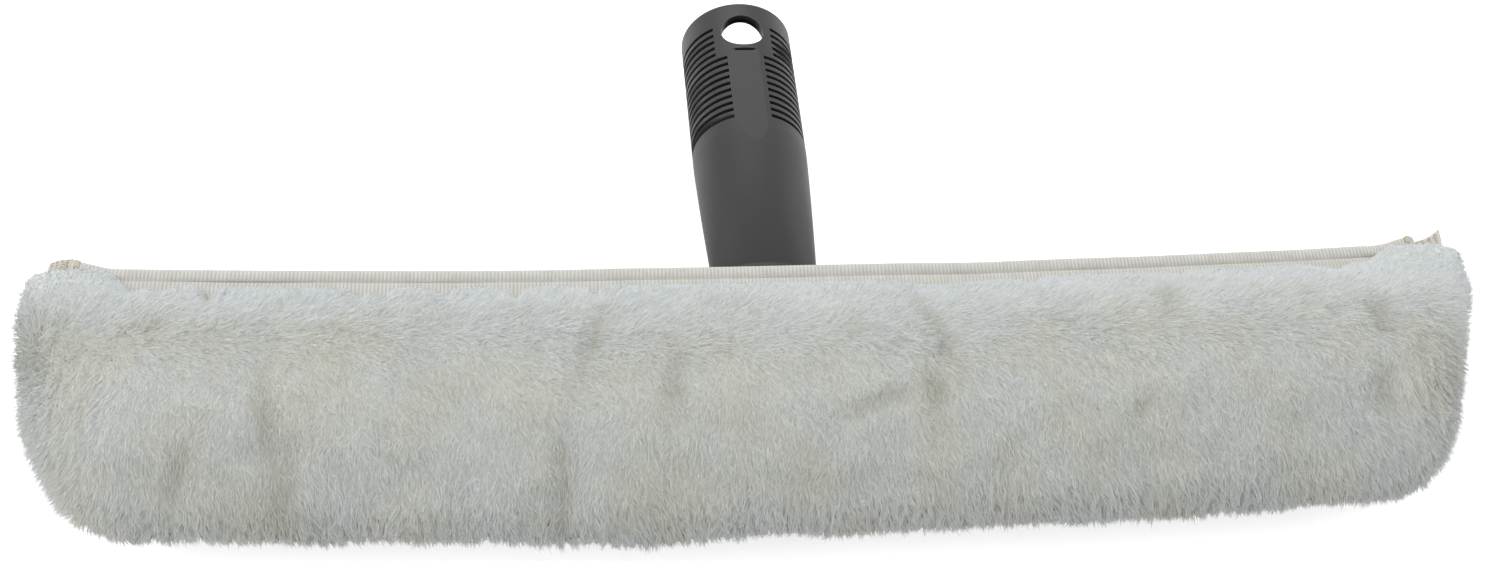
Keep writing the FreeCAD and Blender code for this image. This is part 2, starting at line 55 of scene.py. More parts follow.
grip_radius = 0.0146
groove_depth = 0.0017
grip_start = 0.075
wear_width = 0.0005


def add_node(tree, kind, inputs=None, **options):
    """Adds a shader node, sets its options, and links or sets each of the inputs that are given."""
    made = tree.nodes.new(kind)
    for option, choice in options.items():
        setattr(made, option, choice)
    for socket, source in (inputs or {}).items():
        if isinstance(source, bpy.types.NodeSocket):
            tree.links.new(source, made.inputs[socket])
        else:
            made.inputs[socket].default_value = source
    return made


def maths(tree, operation, *values):
    """The result of a Math node, each value a number or the output of another node."""
    return add_node(tree, "ShaderNodeMath", dict(enumerate(values)), operation=operation).outputs[0]


def vector_maths(tree, operation, first, second, output="Vector"):
    """The result of a Vector Math node."""
    return add_node(tree, "ShaderNodeVectorMath", {0: first, 1: second}, operation=operation).outputs[output]


def noise_at(tree, place, scale, detail=2.0):
    """Soft noise, from 0 to 1, at a place on the surface."""
    inputs = {"Vector": place, "Scale": scale, "Detail": detail}
    return add_node(tree, "ShaderNodeTexNoise", inputs).outputs["Fac"]


def ramp(tree, value, low, high, first=0.0, last=1.0):
    """A value carried over from one range to another, and held at its ends."""
    limits = {"Value": value, "From Min": low, "From Max": high, "To Min": first, "To Max": last}
    return add_node(tree, "ShaderNodeMapRange", limits).outputs["Result"]


def mix_colours(tree, share, first, second):
    """The second colour laid over the first by a share."""
    return add_node(tree, "ShaderNodeMix", {0: share, 6: first, 7: second}, data_type="RGBA").outputs[2]


def object_place(tree):
    """The point on the surface in metres, in the object's own frame."""
    return add_node(tree, "ShaderNodeTexCoord").outputs["Object"]


def start_group(name, inputs, outputs):
    """An empty shader node group with numbers as its sockets, and the sockets of its two end nodes."""
    group = bpy.data.node_groups.new(name, "ShaderNodeTree")
    for socket, value in inputs.items():
        made = group.interface.new_socket(socket, in_out="INPUT", socket_type="NodeSocketFloat")
        made.default_value = value
    for socket in outputs:
        group.interface.new_socket(socket, in_out="OUTPUT", socket_type="NodeSocketFloat")
    return group, group.nodes.new("NodeGroupInput").outputs, group.nodes.new("NodeGroupOutput").inputs


def place_group(tree, group, inputs):
    """A shared node group placed in a material, with the values that this material gives it."""
    return add_node(tree, "ShaderNodeGroup", inputs, node_tree=group)


def start_material(name, numbers):
    """A new material, its node tree and its shader, with the given numbers on the shader's own sockets."""
    material = bpy.data.materials.new(name)
    material.use_nodes = True
    shader = material.node_tree.nodes["Principled BSDF"]
    for socket, value in numbers.items():
        shader.inputs[socket].default_value = value
    return material, material.node_tree, shader


def finish_material(tree, shader, colour, roughness, height, relief):
    """Links a material's colour, roughness and surface height to its shader; relief is the height's size."""
    bump = add_node(tree, "ShaderNodeBump", {"Height": height, "Distance": relief})
    tree.links.new(colour, shader.inputs["Base Color"])
    tree.links.new(roughness, shader.inputs["Roughness"])
    tree.links.new(bump.outputs["Normal"], shader.inputs["Normal"])


moulded_grain, given, result = start_group(
    "moulded_grain", {"Grain Scale": 3000.0, "Cloud Scale": 60.0}, ("Grain", "Clouds")
)
place = object_place(moulded_grain)
moulded_grain.links.new(noise_at(moulded_grain, place, given["Grain Scale"], 3.0), result["Grain"])
moulded_grain.links.new(noise_at(moulded_grain, place, given["Cloud Scale"]), result["Clouds"])

mid_height = sum(corner.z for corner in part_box("crossbar")) / 2
handle_plastic, tree, shader = start_material("handle_plastic", {"Specular IOR Level": 0.4})
grain = place_group(tree, moulded_grain, {"Grain Scale": 2600.0, "Cloud Scale": 45.0})
place = object_place(tree)
from_axis = vector_maths(tree, "SUBTRACT", place, (0.0, 0.0, mid_height))
across = vector_maths(tree, "MULTIPLY", from_axis, (1.0, 0.0, 1.0))
radius = vector_maths(tree, "LENGTH", across, (0.0, 0.0, 0.0), "Value")
below_skin = ramp(tree, radius, grip_radius - groove_depth, grip_radius - groove_depth / 2, 1.0, 0.0)
along = add_node(tree, "ShaderNodeSeparateXYZ", {0: place}).outputs["Y"]
groove_shade_mask = maths(tree, "MULTIPLY", below_skin, ramp(tree, along, grip_start, grip_start + groove_depth))
rounded = add_node(tree, "ShaderNodeBevel", {"Radius": wear_width}, samples=6).outputs["Normal"]
flat = add_node(tree, "ShaderNodeNewGeometry").outputs["Normal"]
edge = ramp(tree, vector_maths(tree, "DOT_PRODUCT", rounded, flat, "Value"), 0.82, 0.99, 1.0, 0.0)
worn_edge = maths(tree, "MULTIPLY", edge, ramp(tree, grain.outputs["Clouds"], 0.3, 0.7, 0.25, 0.8))
colour = mix_colours(tree, grain.outputs["Clouds"], handle_dark, handle_light)
colour = mix_colours(tree, worn_edge, colour, handle_rubbed)
# Painted shade: the groove floors and the inside of the hollow tube turn near black.
colour = mix_colours(tree, groove_shade_mask, colour, groove_painted_shade)
roughness = ramp(tree, grain.outputs["Clouds"], 0.3, 0.7, 0.46, 0.56)
finish_material(tree, shader, colour, roughness, grain.outputs["Grain"], 0.00004)
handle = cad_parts["handle"]
handle.data.materials.clear()
handle.data.materials.append(handle_plastic)


# The crossbar is a flat strip of black polypropylene with a row of drain holes on each side of the foot.
# It is moulded in one piece, and is held in the fork of the foot by two screws.
crossbar_dark = (0.022, 0.022, 0.023, 1.0)
crossbar_light = (0.034, 0.034, 0.035, 1.0)

crossbar_plastic, tree, shader = start_material("crossbar_plastic", {"Specular IOR Level": 0.45})
grain = place_group(tree, moulded_grain, {"Grain Scale": 1800.0, "Cloud Scale": 25.0})
colour = mix_colours(tree, grain.outputs["Clouds"], crossbar_dark, crossbar_light)
roughness = ramp(tree, grain.outputs["Clouds"], 0.3, 0.7, 0.36, 0.5)
finish_material(tree, shader, colour, roughness, grain.outputs["Grain"], 0.00003)
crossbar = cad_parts["crossbar"]
crossbar.data.materials.clear()
crossbar.data.materials.append(crossbar_plastic)


# Two countersunk screws of zinc-plated steel go down through the foot's upper cheek and the crossbar into the
# lower cheek. The plating is a little cloudy, and the heads have fine turning marks.
zinc_bright = (0.62, 0.62, 0.63, 1.0)
zinc_dull = (0.40, 0.41, 0.42, 1.0)

screw_zinc, tree, shader = start_material("screw_zinc", {"Metallic": 1.0})
grain = place_group(tree, moulded_grain, {"Grain Scale": 5000.0, "Cloud Scale": 400.0})
colour = mix_colours(tree, grain.outputs["Clouds"], zinc_bright, zinc_dull)
roughness = ramp(tree, grain.outputs["Clouds"], 0.3, 0.7, 0.24, 0.42)
finish_material(tree, shader, colour, roughness, grain.outputs["Grain"], 0.00002)
for name in ("left_screw", "right_screw"):
    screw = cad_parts[name]
    screw.data.materials.clear()
    screw.data.materials.append(screw_zinc)


# The fleece sleeve is one rectangle of cream-white plush, folded along its front edge and sewn shut at both
# ends. Its knitted backing makes the pocket for the crossbar and ends at the two lips of the slit. Its
# acrylic pile is dense and lumpy; it parts where the cloth was creased, and shows yellower roots there.
# Painted shade darkens the pile towards its roots and in the partings, and painted light makes it a cooler,
# lighter white along the lips.
sleeve_low, sleeve_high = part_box("fleece_sleeve")
tape_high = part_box("upper_lip_tape")[1]
bare_tape_width = 0.005
fleece_back = tape_high.y - bare_tape_width
foot_half_width = 0.0304
foot_ramp = 0.024
foot_rise = 0.0016
foot_pull = 0.0010
sleeve_bow = 0.0044
nose_bow = 0.0025
sleeve_half_length = 0.1763
left_rake = math.atan2(0.0125, 0.067)
right_rake = math.atan2(0.0240, 0.067)
right_reach = 0.0020
skew = 0.03
skew_middle = 0.012
tip_depth = 0.0015
plush_lip = 0.0064
plush_nose = 0.0088
plush_end_share = 0.10
lip_crown_share = 0.85
nose_crown_share = 0.8
covered_lip_share = 0.9
least_plush = 0.001
end_round = 0.032
left_corner_draw = 0.032
right_corner_draw = 0.016
left_corner_round = 0.032
right_corner_round = 0.024
back_corner_draw = 0.0060
back_round = 0.012
corner_rise = 0.0050
corner_rise_start = 0.149
corner_rise_run = 0.008
lip_setback = 0.0014
pocket_clearance = 0.0004
bar_corner = 0.0140
pocket_half = 0.0034
foot_pocket_rise = 0.0030
seam_start = 0.001
seam_width = 0.004
sewn_gap = 0.0001
tape_front = 0.0260
tape_clearance = 0.0002
over_tape = 0.0061
parting_depth = 0.0011
swell_start = 0.001
swell_full = 0.010
calm_share = 0.7
calm_start = 0.145
calm_end = 0.168
plush_floor_gap = 0.0006
plush_shaded_lightness = 0.5
parting_shade = 0.4
cream_start = 0.004
cream_end = 0.026
pile_tip = (0.735, 0.770, 0.805, 1.0)
pile_shade = (0.735, 0.732, 0.665, 1.0)
pile_root = (0.43, 0.43, 0.365, 1.0)
backing_colour = (0.80, 0.77, 0.67, 1.0)
backing_shade = (0.68, 0.64, 0.53, 1.0)
notch_run = 0.012
# Each notch in the fleece's edge has its place along the sleeve, its depth and half its width.
edge_notches = [
    (-0.1490, 0.0015, 0.0020),
    (-0.1425, 0.0018, 0.0025),
    (-0.1315, 0.0042, 0.0018),
    (-0.0970, 0.0036, 0.0022),
    (-0.0915, 0.0042, 0.0022),
    (-0.0783, 0.0032, 0.0018),
    (-0.0614, 0.0042, 0.0020),
    (-0.0424, 0.0036, 0.0015),
    (0.0410, 0.0020, 0.0100),
    (0.0615, 0.0022, 0.0030),
    (0.1000, 0.0015, 0.0020),
    (0.1400, 0.0024, 0.0040),
]
# Each parting has its middle along and across the sleeve, the way it runs in degrees, its length and width.
partings = [
    (-0.131, 0.026, 90, 0.004, 0.0018),
    (-0.099, 0.025, 90, 0.003, 0.0015),
    (-0.093, 0.023, 80, 0.003, 0.0015),
    (-0.045, 0.006, 75, 0.010, 0.0022),
    (-0.026, -0.006, 85, 0.008, 0.0025),
    (0.020, -0.012, 20, 0.009, 0.0022),
    (0.035, 0.006, 110, 0.012, 0.0018),
    (0.033, -0.009, 95, 0.008, 0.0026),
    (-0.115, -0.011, 100, 0.014, 0.0025),
    (-0.111, -0.025, 90, 0.009, 0.0030),
    (-0.133, -0.022, 70, 0.006, 0.0022),
    (-0.051, -0.027, 90, 0.010, 0.0025),
    (0.092, 0.016, 70, 0.006, 0.0022),
    (0.080, -0.015, 60, 0.003, 0.0015),
    (0.139, -0.011, 80, 0.007, 0.0025),
    (0.142, 0.008, 95, 0.006, 0.0028),
]
# Each swell of the plush has its height, the size over which it rises and sinks, and a shift of its own.
swells = [
    (0.0010, 0.034, 0.0),
    (0.0009, 0.014, 7.0),
    (0.0006, 0.007, 3.0),
    (0.0003, 0.0035, 5.0),
]


def smooth_step(value, low, high):
    """From 0 below the low value to 1 above the high one, without a kink."""
    share = np.clip((np.asarray(value) - low) / (high - low), 0.0, 1.0)
    return share * share * (3.0 - 2.0 * share)


def lumps(points, size, shift=0.0):
    """Smooth seeded noise, about -1 to 1, that swells and sinks over the given size."""
    start = Vector((shift, shift, shift))
    return np.array([noise.noise(Vector(point) / size + start) for point in np.asarray(points)])


def waves(points, rows):
    """The sum of several sets of lumps, each with its height, its size and a shift that sets it apart."""
    return sum(height * lumps(points, size, shift) for height, size, shift in rows)


def foot_share(x):
    """1 over the handle's foot, falling to 0 along the ramps beside it."""
    return 1.0 - smooth_step(np.abs(x), foot_half_width, foot_half_width + foot_ramp)


def bow(x):
    """How far the soft sleeve's ends sag back towards the handle."""
    return sleeve_bow * (np.asarray(x) / sleeve_half_length) ** 2


def lip_shift(x):
    """How far the lips lie from their straight line: bowed with the sleeve, and drawn in over the foot."""
    return bow(x) - foot_pull * foot_share(x)


def fleece_rise(x):
    """How far the fleece reaches up over the tape near its ends, round the ears."""
    return corner_rise * smooth_step(np.abs(x), corner_rise_start, corner_rise_start + corner_rise_run)


def edge_notch(x):
    """How far the fleece's edge is notched in front of the tape."""
    depth = np.zeros_like(np.asarray(x, dtype=float))
    for place, notch_depth, half_width in edge_notches:
        depth = depth + notch_depth * np.exp(-(((x - place) / half_width) ** 2))
    return depth


def arc(centre_y, centre_z, radius, start, end, count):
    """Points of an arc in a section, as (y, z) pairs."""
    turn = np.linspace(start, end, count)
    return np.stack([centre_y + radius * np.cos(turn), centre_z + radius * np.sin(turn)], axis=1)


def run(start, end, count):
    """Evenly spaced points of a straight run in a section, without its last point."""
    return np.linspace(start, end, count, endpoint=False)


def plush_outside(front, back, crown, lip, nose):
    """The upper half of the plush's outside, from the lip over the crown to the middle of the nose."""
    crest = (front + back) / 2
    fall = crown - lip
    back_radius = ((back - crest) ** 2 + fall**2) / (2 * fall)
    reach = crest - front - nose
    front_radius = (reach**2 + crown**2 - nose**2) / (2 * (crown - nose))
    lip_angle = math.atan2(back_radius - fall, back - crest)
    nose_angle = math.atan2(front_radius - crown, -reach)
    behind = arc(crest, crown - back_radius, back_radius, lip_angle, math.pi / 2, 28)
    before = arc(crest, crown - front_radius, front_radius, math.pi / 2, nose_angle, 28)
    around = arc(front + nose, 0.0, nose, nose_angle, math.pi, 15)
    return np.concatenate([behind[:-1], before[:-1], around])


def sleeve_section(x):
    """The sleeve's closed section at a place along it: the plush's outside, then back along the pocket."""
    end_share = max(0.0, 1.0 - (plush_end - abs(x)) / end_round)
    fullness = math.sqrt(1.0 - end_share**2)
    shrink = plush_end_share + (1.0 - plush_end_share) * fullness
    back_share = max(0.0, 1.0 - (plush_end - abs(x)) / back_round)
    corner_draw, corner_round = left_corner_draw, left_corner_round
    if x > 0:
        corner_draw, corner_round = right_corner_draw, right_corner_round
    corner_share = max(0.0, 1.0 - (plush_end - abs(x)) / corner_round)
    front = sleeve_low.y + tip_depth + nose_bow * (x / plush_end) ** 2
    front += corner_draw * (1.0 - math.sqrt(1.0 - corner_share**2))
    back = fleece_back - lip_setback + float(fleece_rise(x) - foot_pull * foot_share(x))
    back -= back_corner_draw * (1.0 - math.sqrt(1.0 - back_share**2))
    crown = (sleeve_high.z - mid_height - tip_depth) * shrink
    over_foot = float(foot_share(x))
    lip = min(plush_lip + foot_rise * over_foot, lip_crown_share * crown)
    nose = min(plush_nose, nose_crown_share * crown)
    outside = plush_outside(front, back, crown, lip, nose)
    notch = float(edge_notch(x))
    outside[:, 0] -= notch * (1.0 - smooth_step(back - outside[:, 0], 0.0, notch_run))
    sewn_shut = float(smooth_step(abs(x), pocket_end + seam_start, pocket_end + seam_start + seam_width))
    pocket = (pocket_half + foot_pocket_rise * over_foot) * (1.0 - sewn_shut) + sewn_gap
    covered = min(over_tape + foot_rise * over_foot, covered_lip_share * lip)
    covered = covered * (1.0 - sewn_shut) + sewn_gap
    past_corner = min(max(0.0, abs(x) - bar_high.x + bar_corner), bar_corner)
    pocket_corner = bar_corner - math.sqrt(bar_corner**2 - past_corner**2)
    inner_front = max(pocket_front + pocket_corner, front + least_plush)
    tape_edge = tape_front - tape_clearance
    pocket_back = tape_edge - tape_clearance
    inside = np.concatenate(
        [
            run((back - notch, covered), (tape_edge, covered), 6),
            run((tape_edge, covered), (pocket_back, pocket), 3),
            run((pocket_back, pocket), (inner_front, pocket), len(outside) - 14),
            np.linspace((inner_front, pocket), (inner_front, 0.0), 5),
        ]
    )
    mirror = np.array([1.0, -1.0])
    outer = np.concatenate([outside, outside[-2::-1] * mirror])
    inner = np.concatenate([inside, inside[-2::-1] * mirror])
    # The outside slants in at the ends and lies askew; the pocket stays square round the bar.
    slant = -math.tan(left_rake * end_share) if x < 0 else math.tan(right_rake * end_share)
    outer_x = x - slant * (fleece_back - outer[:, 0]) + skew * (outer[:, 0] - skew_middle)
    if x > 0:
        outer_x += right_reach * end_share**2
    inner_x = x - (slant * (fleece_back - inner[:, 0]) - skew * (inner[:, 0] - skew_middle)) * sewn_shut
    outer[:, 0] += bow(x)
    behind_front = (inner[:, 0] - inner_front) / (back - inner_front)
    inner[:, 0] += bow(x) * behind_front
    loop = np.concatenate([outer, inner[::-1]])
    loop_x = np.concatenate([outer_x, inner_x[::-1]])
    return np.column_stack([loop_x, loop[:, 0], loop[:, 1] + mid_height])


def shell_faces(rings, points):
    """Quads along a row of closed loops, and caps at both ends that join each loop's two sides."""
    first = np.arange(rings - 1)[:, None] * points
    here = np.arange(points)
    ahead = (here + 1) % points
    sides = np.stack([first + here, first + ahead, first + points + ahead, first + points + here], axis=-1)
    half = np.arange(points // 2 - 1)
    cap = np.stack([half, points - 1 - half, points - 2 - half, half + 1], axis=-1)
    far_cap = cap[:, ::-1] + (rings - 1) * points
    return np.concatenate([sides.reshape(-1, 4), cap, far_cap]).tolist()


def make_piece(name, points, faces, material):
    """A smooth mesh object in the scene, with one material."""
    mesh = bpy.data.meshes.new(name)
    mesh.from_pydata(np.asarray(points).tolist(), [], faces)
    mesh.materials.append(material)
    mesh.shade_smooth()
    piece = bpy.data.objects.new(name, mesh)
    bpy.context.scene.collection.objects.link(piece)
    return piece


def make_shell(name, points, faces, material):
    """A smooth piece of one or more closed skins, with all faces turned outwards."""
    piece = make_piece(name, points, faces, material)
    skin = bmesh.new()
    skin.from_mesh(piece.data)
    bmesh.ops.recalc_face_normals(skin, faces=skin.faces)
    skin.to_mesh(piece.data)
    skin.free()
    return piece


knit_and_weave, given, result = start_group(
    "knit_and_weave",
    {"Threads Along": 1200.0, "Threads Across": 1200.0, "Slub Scale": 150.0},
    ("Height", "Slubs"),
)
place = object_place(knit_and_weave)
threads = {"X": given["Threads Along"], "Y": given["Threads Across"], "Z": given["Threads Across"]}
thread_scale = add_node(knit_and_weave, "ShaderNodeCombineXYZ", threads).outputs[0]
counted = vector_maths(knit_and_weave, "MULTIPLY", place, thread_scale)
thread_place = add_node(knit_and_weave, "ShaderNodeSeparateXYZ", {0: counted}).outputs
warp_turn = maths(knit_and_weave, "MULTIPLY", thread_place["X"], 2 * math.pi)
weft_turn = maths(knit_and_weave, "MULTIPLY", thread_place["Y"], 2 * math.pi)
warp = maths(knit_and_weave, "SINE", warp_turn)
weft = maths(knit_and_weave, "SINE", weft_turn)
crossings = maths(knit_and_weave, "MULTIPLY", warp, weft)
slubs = noise_at(knit_and_weave, place, given["Slub Scale"], 3.0)
knit_and_weave.links.new(maths(knit_and_weave, "ADD", crossings, slubs), result["Height"])
knit_and_weave.links.new(slubs, result["Slubs"])

fleece_backing, tree, shader = start_material("fleece_backing", {"Sheen Weight": 0.2})
weave = place_group(
    tree, knit_and_weave, {"Threads Along": 900.0, "Threads Across": 700.0, "Slub Scale": 120.0}
)
colour = mix_colours(tree, ramp(tree, weave.outputs["Slubs"], 0.3, 0.7), backing_shade, backing_colour)
roughness = ramp(tree, weave.outputs["Slubs"], 0.3, 0.7, 0.85, 0.95)
finish_material(tree, shader, colour, roughness, weave.outputs["Height"], 0.00015)

pile_white, tree, shader = start_material("pile_white", {"Sheen Weight": 0.2, "Sheen Roughness": 0.5})
depth = add_node(tree, "ShaderNodeAttribute", attribute_name="pile_depth_shade").outputs["Fac"]
tone = add_node(tree, "ShaderNodeAttribute", attribute_name="pile_tone_and_rim_light").outputs["Fac"]
fibres = noise_at(tree, object_place(tree), 1400.0, 3.0)
clouds = noise_at(tree, object_place(tree), 55.0, 3.0)
# The warm share is held low along the lips, so that the pile there is painted a cooler, lighter white as
# light on the rim; the clouds vary it at random.
warm = maths(tree, "MULTIPLY", tone, ramp(tree, clouds, 0.36, 0.66, 0.25, 1.0))
colour = mix_colours(tree, warm, pile_tip, pile_shade)
# Towards the root the colour turns to the darker root colour: painted shade deep in the pile, and in part the
# roots' own yellower tint.
colour = mix_colours(tree, depth, pile_root, colour)
roughness = ramp(tree, fibres, 0.3, 0.7, 0.75, 0.95)
finish_material(tree, shader, colour, roughness, fibres, 0.0002)


def parted(points):
    """How far the pile is open at each point, from 0 to 1, and the way it is pushed aside."""
    opened = np.zeros(len(points))
    push = np.zeros((len(points), 3))
    for x, y, turn, length, width in partings:
        offset = points[:, :2] - np.array([x, y])
        way = np.array([math.cos(math.radians(turn)), math.sin(math.radians(turn))])
        square = np.array([-way[1], way[0]])
        along = offset @ way / length
        beside = offset @ square / width
        near = np.exp(-(along**2) - beside**2 / 4) * (points[:, 2] > mid_height)
        push[:, :2] += (near * np.tanh(1.5 * beside))[:, None] * square
        opened = np.maximum(opened, near * np.exp(-(beside**2) / 2))
    return opened, push


def warmth_beyond_painted_rim_light(points):
    """How creamy the pile is, from 0 along the lips, where a cooler white is painted as light on the rim, to
    1.
    """
    from_lip = fleece_back + lip_shift(points[:, 0]) - points[:, 1]
    return smooth_step(from_lip, cream_start, cream_end)


def set_numbers(mesh, name, numbers):
    """Stores a number for each point of a mesh, for its material."""
    mesh.attributes.new(name, "FLOAT", "POINT").data.foreach_set("value", numbers.astype(np.float32).ravel())


bar_low, bar_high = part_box("crossbar")
pocket_end = bar_high.x + pocket_clearance
pocket_front = bar_low.y - pocket_clearance
plush_end = sleeve_half_length - tip_depth
end_steps = plush_end - end_round * (1.0 - np.cos(np.linspace(0.0, math.pi / 2, 30)))
middle_steps = np.linspace(end_steps[-1], -end_steps[-1], 250)[1:-1]
stations = np.concatenate([end_steps, middle_steps, -end_steps[::-1]])
sections = np.array([sleeve_section(x) for x in stations])
section_points = sections.shape[1]
outer_count = section_points // 2
sleeve = make_shell(
    "fleece_sleeve_plush", sections.reshape(-1, 3), shell_faces(len(stations), section_points), pile_white
)
mesh = sleeve.data
mesh.materials.append(fleece_backing)
is_outside = np.tile(np.arange(section_points) < outer_count, len(stations))
for face in mesh.polygons:
    face.material_index = 0 if is_outside[list(face.vertices)].any() else 1
places = np.array([vertex.co[:] for vertex in mesh.vertices])
normals = np.array([vertex.normal[:] for vertex in mesh.vertices])
outside = places[is_outside]
opened, push = parted(outside)
swell = waves(outside, swells) * (1.0 - calm_share * smooth_step(np.abs(outside[:, 0]), calm_start, calm_end))
from_lip = fleece_back + bow(outside[:, 0]) - outside[:, 1]
rise = (swell - parting_depth * opened) * smooth_step(from_lip, swell_start, swell_full)
outside = outside + normals[is_outside] * rise[:, None]
outside[:, 2] = np.maximum(outside[:, 2], plush_floor_gap)
places[is_outside] = outside
mesh.vertices.foreach_set("co", places.astype(np.float32).ravel())
mesh.update()
# The plush between the strands is painted halfway to the root colour, as shade deep in the pile, and darker
# still in the partings, as painted shade.
plush_depth_shade = np.full(len(places), plush_shaded_lightness)
plush_depth_shade[is_outside] -= parting_shade * opened
set_numbers(mesh, "pile_depth_shade", plush_depth_shade)
set_numbers(mesh, "pile_tone_and_rim_light", warmth_beyond_painted_rim_light(places))
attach(sleeve, "sleeve")
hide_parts("fleece_sleeve")


# The free tips of the pile are fine strands about three millimetres long, knitted in with the rest in small
# tufts and sheared level. They lie low: brushed to the nose over most of the sleeve, and round to the tape at
# the lips.
tuft_spacing = 0.00074
strands_in_tuft = 3
strand_length = 0.0034
strand_radius = 0.00011
strand_sink = 0.0004
tuft_spread = 0.00050
tip_spread = 0.00045
length_spread = 0.12
strand_taper = 0.8
strand_bend = 0.06
middle_share = 0.6
least_kept_share = 0.12
root_light = 0.35
middle_light = 0.75
dullest_light = 0.7
parted_shade = 0.5
least_tone = 0.6
tuft_tone = 0.3
strand_tone = 0.2
nap_lean = 2.1
lip_turn = 2.0
turn_start = 0.007
turn_end = 0.042
lean_spread = 0.20
sway_spread = 0.15
crest_crowd = 0.6
crowd_start = 0.002
crowd_full = 0.009
crowd_fade = 0.022
crowd_end = 0.034
lip_height_share = 0.30
growth_start = 0.001
growth_full = 0.014
fringe_start = 0.058
fringe_run = 0.009
fringe_lean = 0.6
parting_push = 0.6
lock_pitch = 0.0034
lock_pull = 0.4
fringe_pull = 0.3
stray_start = 0.45
stray_full = 0.85
stray_rise = 2.0
shear_slope = 1.18
shear_from_lip = -0.0004
floor_gap = 0.0003
strands_in_piece = 19500
# The nap wanders in waves: each has its height, its size along the cloth and a shift of its own.
lean_waves = [(0.5, 0.013, 3.0), (1.2, 0.0028, 6.0)]
turn_waves = [(0.5, 0.016, 7.0)]
sway_waves = [(0.5, 0.019, 9.0), (0.4, 0.007, 5.0), (1.6, 0.0024, 12.0)]
height_waves = [(0.15, 0.011, 2.0), (0.20, 0.003, 4.0)]
lock_waves = [(0.6, 0.009, 8.0)]
shear_waves = [(0.0008, 0.014, 6.0), (0.0005, 0.004, 2.0)]

seed = np.random.default_rng(20)


def unit(vectors):
    """The vectors at a length of one."""
    return vectors / np.linalg.norm(vectors, axis=-1, keepdims=True)


def sow_tufts(mesh, spacing, wanted):
    """Roots and normals of tufts spread evenly over the plush where its normals are wanted."""
    mesh.calc_loop_triangles()
    corners = np.array([triangle.vertices[:] for triangle in mesh.loop_triangles])
    places = np.array([vertex.co[:] for vertex in mesh.vertices])
    normals = np.array([vertex.normal[:] for vertex in mesh.vertices])
    corners = corners[is_outside[corners].all(axis=1)]
    corners = corners[wanted(normals[corners].mean(axis=1))]
    edges = places[corners[:, 1:]] - places[corners[:, :1]]
    areas = np.linalg.norm(np.cross(edges[:, 0], edges[:, 1]), axis=1) / 2
    middles = places[corners].mean(axis=1)
    from_lip = fleece_back + lip_shift(middles[:, 0]) - middles[:, 1]
    on_crest = smooth_step(from_lip, crowd_start, crowd_full) - smooth_step(from_lip, crowd_fade, crowd_end)
    areas *= 1.0 + crest_crowd * on_crest
    count = int(areas.sum() / spacing**2)
    step = (np.arange(count) + seed.random(count)) / count * areas.sum()
    picked = corners[np.minimum(np.searchsorted(np.cumsum(areas), step), len(corners) - 1)]
    shares = seed.random((count, 2))
    shares = np.where(shares.sum(axis=1, keepdims=True) > 1.0, 1.0 - shares, shares)
    shares = np.column_stack([1.0 - shares.sum(axis=1), shares])[:, :, None]
    return (places[picked] * shares).sum(axis=1), unit((normals[picked] * shares).sum(axis=1))


def nap_frame(normals):
    """The way the nap lies at each root, from the lip to the nose, and the way across it."""
    nap = unit(np.cross([1.0, 0.0, 0.0], normals) + normals * 1e-6)
    return nap, np.cross(nap, normals)


def comb(roots, normals):
    """The direction and height share of each tuft, from the nap, slow waves and the partings."""
    nap, side = nap_frame(normals)
    from_lip = fleece_back + lip_shift(roots[:, 0]) - roots[:, 1]
    lean = nap_lean + waves(roots, lean_waves) + seed.normal(0.0, lean_spread, len(roots))
    # Along the lips the pile lies back towards the tape, and it turns round to the right over the crest.
    turn = waves(roots, turn_waves) - lip_turn * (1.0 - smooth_step(from_lip, turn_start, turn_end))
    # At the nose the pile is brushed into pointed locks that lie to the right.
    fringe = smooth_step(from_lip, fringe_start, fringe_start + fringe_run)
    sway = waves(roots, sway_waves) - fringe_lean * fringe + seed.normal(0.0, sway_spread, len(roots))
    grown = smooth_step(from_lip, growth_start, growth_full)
    height = (1.0 + waves(roots, height_waves)) * (lip_height_share + (1.0 - lip_height_share) * grown)
    opened, push = parted(roots)
    along = lean * np.cos(turn)
    across = lean * np.sin(turn) + sway
    directions = unit(normals + along[:, None] * nap + across[:, None] * side + parting_push * push)
    lock = roots[:, 0] / lock_pitch + waves(roots, lock_waves)
    pull = (np.floor(lock) + 0.5 - lock) * lock_pitch / strand_length
    directions[:, 0] += (lock_pull + fringe_pull * fringe) * pull
    return directions, height, opened


def spin_strands(roots, middles, tips, normals, radius):
    """Points and point normals of three-sided strands, each of two rings and a tip."""
    along = unit(middles - roots)
    first = unit(np.cross(along, np.array([0.31, 0.59, 0.74])))
    second = np.cross(along, first)
    start = seed.random(len(roots)) * 2 * math.pi
    turns = start[:, None] + np.arange(3) * 2 * math.pi / 3
    spokes = np.cos(turns)[:, :, None] * first[:, None] + np.sin(turns)[:, :, None] * second[:, None]
    root_ring = roots[:, None] + spokes * radius[:, None, None]
    middle_ring = middles[:, None] + spokes * (radius * strand_taper)[:, None, None]
    points = np.concatenate([root_ring, middle_ring, tips[:, None]], axis=1)
    outward = np.concatenate([spokes, spokes, along[:, None]], axis=1)
    return points, unit(outward + normals[:, None])


# A strand's faces count round its root ring (0 to 2), its middle ring (3 to 5) and its tip (6).
strand_faces = [(0, 1, 4, 3), (1, 2, 5, 4), (2, 0, 3, 5), (3, 4, 6), (4, 5, 6), (5, 3, 6), (2, 1, 0)]


def strand_chart():
    """Where the corners of a strand's faces lie in its own cell of the flat map, without overlap."""
    corners = []
    for side in range(3):
        left, right = (side + 0.05) / 3, (side + 0.95) / 3
        corners += [(left, 0.12), (right, 0.12), (right, 0.65), (left, 0.65)]
    for side in range(3):
        left, right = (side + 0.05) / 3, (side + 0.95) / 3
        corners += [(left, 0.67), (right, 0.67), ((left + right) / 2, 1.0)]
    corners += [(0.1, 0.0), (0.9, 0.0), (0.5, 0.09)]
    return np.array(corners)


